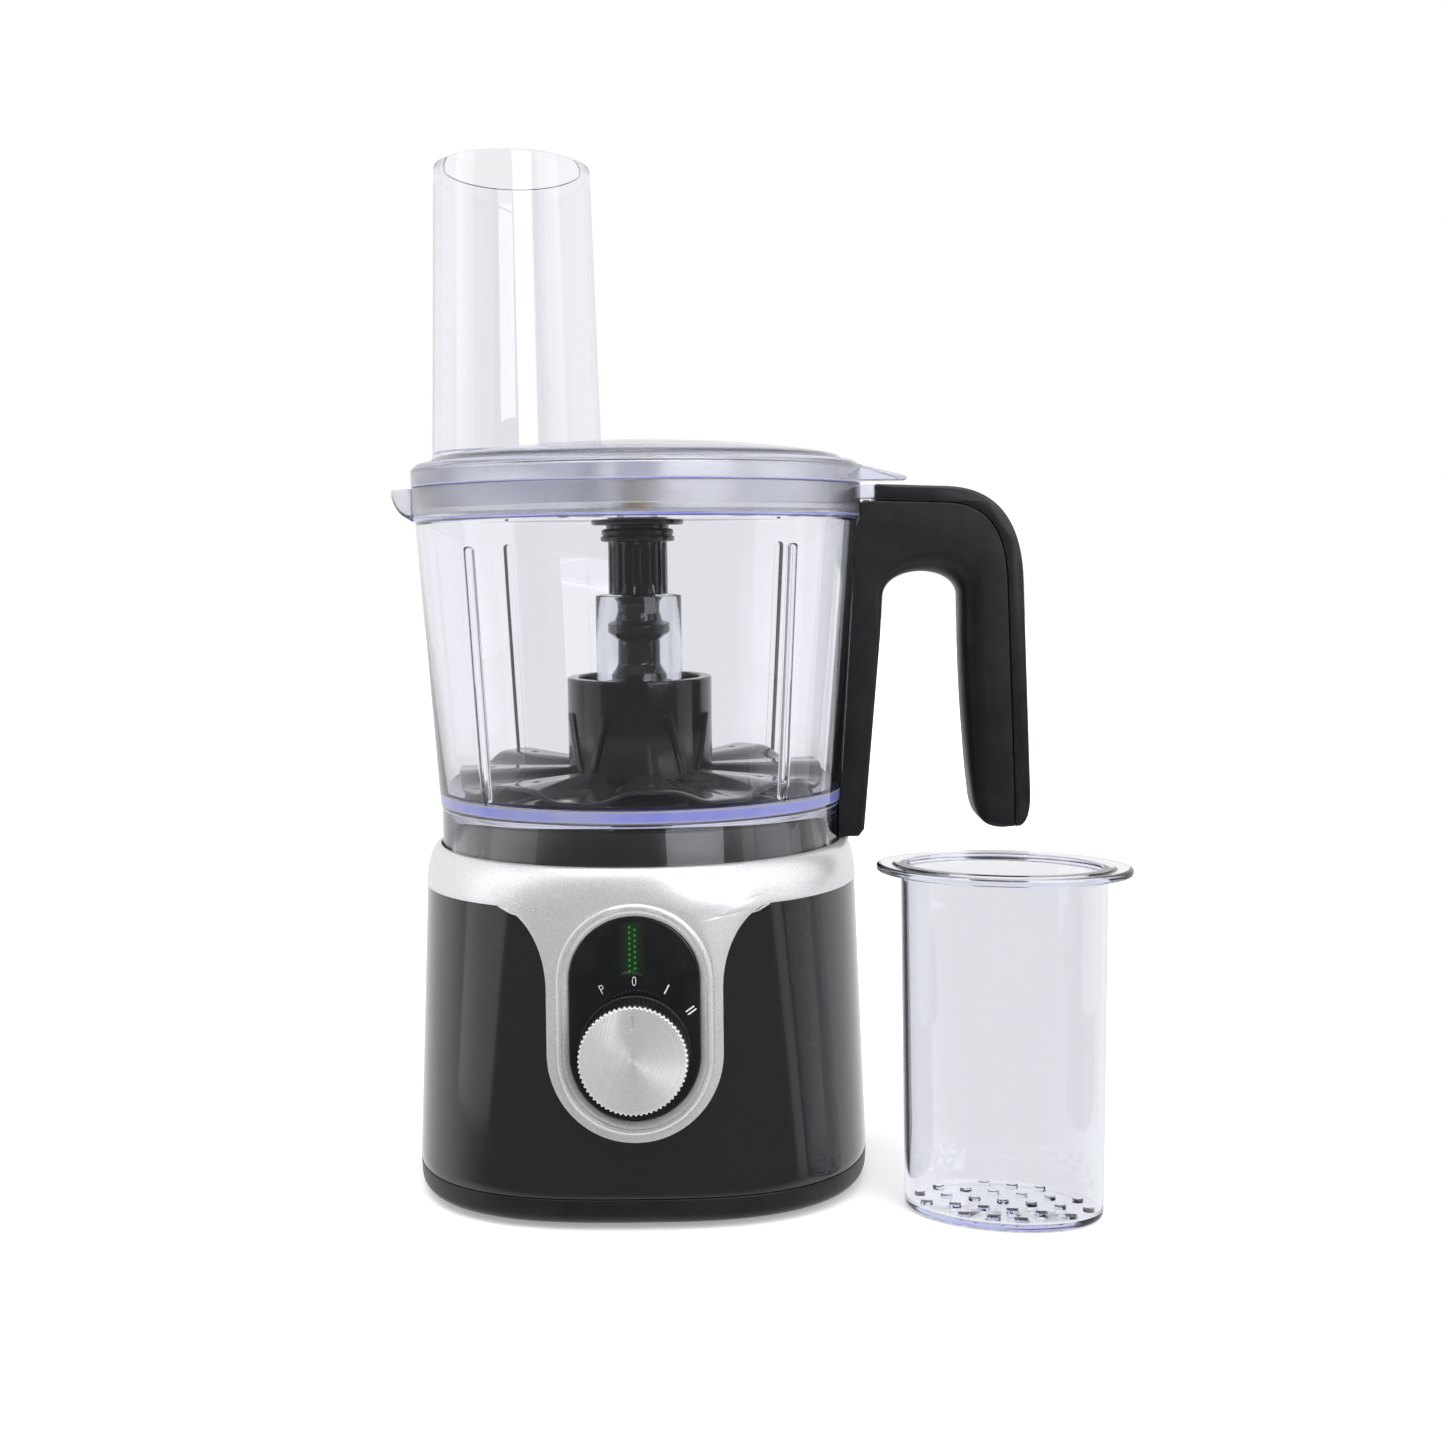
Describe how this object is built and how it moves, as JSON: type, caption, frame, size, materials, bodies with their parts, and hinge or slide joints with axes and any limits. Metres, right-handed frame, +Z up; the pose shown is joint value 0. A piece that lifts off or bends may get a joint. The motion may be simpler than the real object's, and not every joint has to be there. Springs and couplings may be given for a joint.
{
  "type": "food processor",
  "caption": "Compact food processor: geared base with a dial, clear bowl with handle, lid with a tall oval chute, discs on a spindle, and a loose pusher.",
  "frame": {"origin": "middle of the bottom cover's flat underside, on the axis of the bowl; the feet reach 2 mm below it", "axes": "+Z up the bowl's axis, +X towards the handle, -Y towards the user and the dial"},
  "size_m": [0.2856, 0.2017, 0.404],
  "materials": {
    "gloss_black": "polished moulded plastic",
    "satin_black": "fine satin moulded plastic",
    "silver_lacquer": "satin silver lacquer on plastic",
    "rubber": "matt",
    "steel": "brushed",
    "smoked_lens": "smoked, over small green lights",
    "circuit_board": "lacquered board",
    "spun_aluminium": "spun in fine rings",
    "laminated_steel": "stacked sheet and pressed plate",
    "brass": "sintered",
    "copper": "enamelled wire",
    "white_nylon": "moulded",
    "clear_plastic": "clear, with a blue-violet tint at its edges",
    "tool_black": "polished moulded plastic"
  },
  "bodies": {
    "base": {"motor_housing": "gloss_black", "top_collar": "silver_lacquer", "bowl_platform": "gloss_black", "bottom_cover": "satin_black", "cable_gland": "rubber", "interlock_switch": "satin_black", "foot_1": "rubber", "foot_2": "rubber", "foot_3": "rubber", "foot_4": "rubber", "base_screw_1": "steel", "base_screw_2": "steel", "base_screw_3": "steel", "base_screw_4": "steel", "control_panel": "gloss_black", "indicator_lens": "smoked_lens", "led_board": "circuit_board", "rotary_switch": "satin_black", "gear_plate": "laminated_steel", "output_bush_lower": "brass", "output_bush_upper": "brass", "shaft_seal": "rubber", "stator_core": "laminated_steel", "field_coil_1": "copper", "field_coil_2": "copper", "motor_upper_bracket": "laminated_steel", "motor_lower_bracket": "laminated_steel", "motor_bearing_upper": "brass", "motor_bearing_lower": "brass", "brush_holder_1": "brass", "brush_holder_2": "brass"},
    "knob": {"knob_body": "satin_black", "knob_cap": "spun_aluminium", "switch_shaft": "steel"},
    "output": {"output_shaft": "steel", "main_gear": "white_nylon", "drive_coupling": "satin_black"},
    "rotor": {"motor_shaft": "steel", "rotor_core": "copper", "commutator": "copper", "cooling_fan": "white_nylon", "pinion": "steel"},
    "bowl": {"bowl": "clear_plastic", "handle_body": "satin_black", "handle_cover": "gloss_black", "interlock_spring": "steel"},
    "interlock": {"interlock_rod": "white_nylon"},
    "lid": {"lid": "clear_plastic", "lid_bush": "brass"},
    "tools": {"drive_spindle": "tool_black", "emulsifying_disc": "tool_black", "spindle_sleeve": "clear_plastic", "disc_carrier": "tool_black", "disc_clamp": "tool_black", "slicing_disc": "steel", "slicing_blade": "steel"},
    "pusher": {"pusher": "clear_plastic"}
  },
  "joints": [
    {"name": "knob_turn", "type": "hinge", "parent": "base", "child": "knob", "pos_m": [0, -0.0869, 0.0655], "axis": [0, 0.9995, -0.0324], "range_deg": [-28, 55]},
    {"name": "output_spin", "type": "hinge", "parent": "base", "child": "output", "pos_m": [0, 0, 0.108], "axis": [0, 0, 1], "continuous": true},
    {"name": "motor_spin", "type": "hinge", "parent": "base", "child": "rotor", "pos_m": [0, 0.0405, 0.064], "axis": [0, 0, 1], "continuous": true},
    {"name": "bowl_lift", "type": "slide", "parent": "base", "child": "bowl", "axis": [0, 0, 1], "range_m": [0, 0.06]},
    {"name": "tool_spin", "type": "hinge", "parent": "bowl", "child": "tools", "pos_m": [0, 0, 0.2], "axis": [0, 0, 1], "continuous": true},
    {"name": "lid_lift", "type": "slide", "parent": "bowl", "child": "lid", "axis": [0, 0, 1], "range_m": [0, 0.06]},
    {"name": "interlock_press", "type": "slide", "parent": "bowl", "child": "interlock", "axis": [0.0735, 0, 0.9973], "range_m": [-0.004, 0], "stiffness_N_per_m": 250, "springref_m": 0.004, "deforming": ["interlock_spring"]},
    {"name": "pusher_lift", "type": "slide", "parent": "base", "child": "pusher", "axis": [0, 0, 1], "range_m": [0, 0.12]}
  ],
  "couplings": [
    {"joint": "motor_spin", "follows": "output_spin", "ratio": -4.4},
    {"joint": "tool_spin", "follows": "output_spin", "ratio": 1}
  ]
}
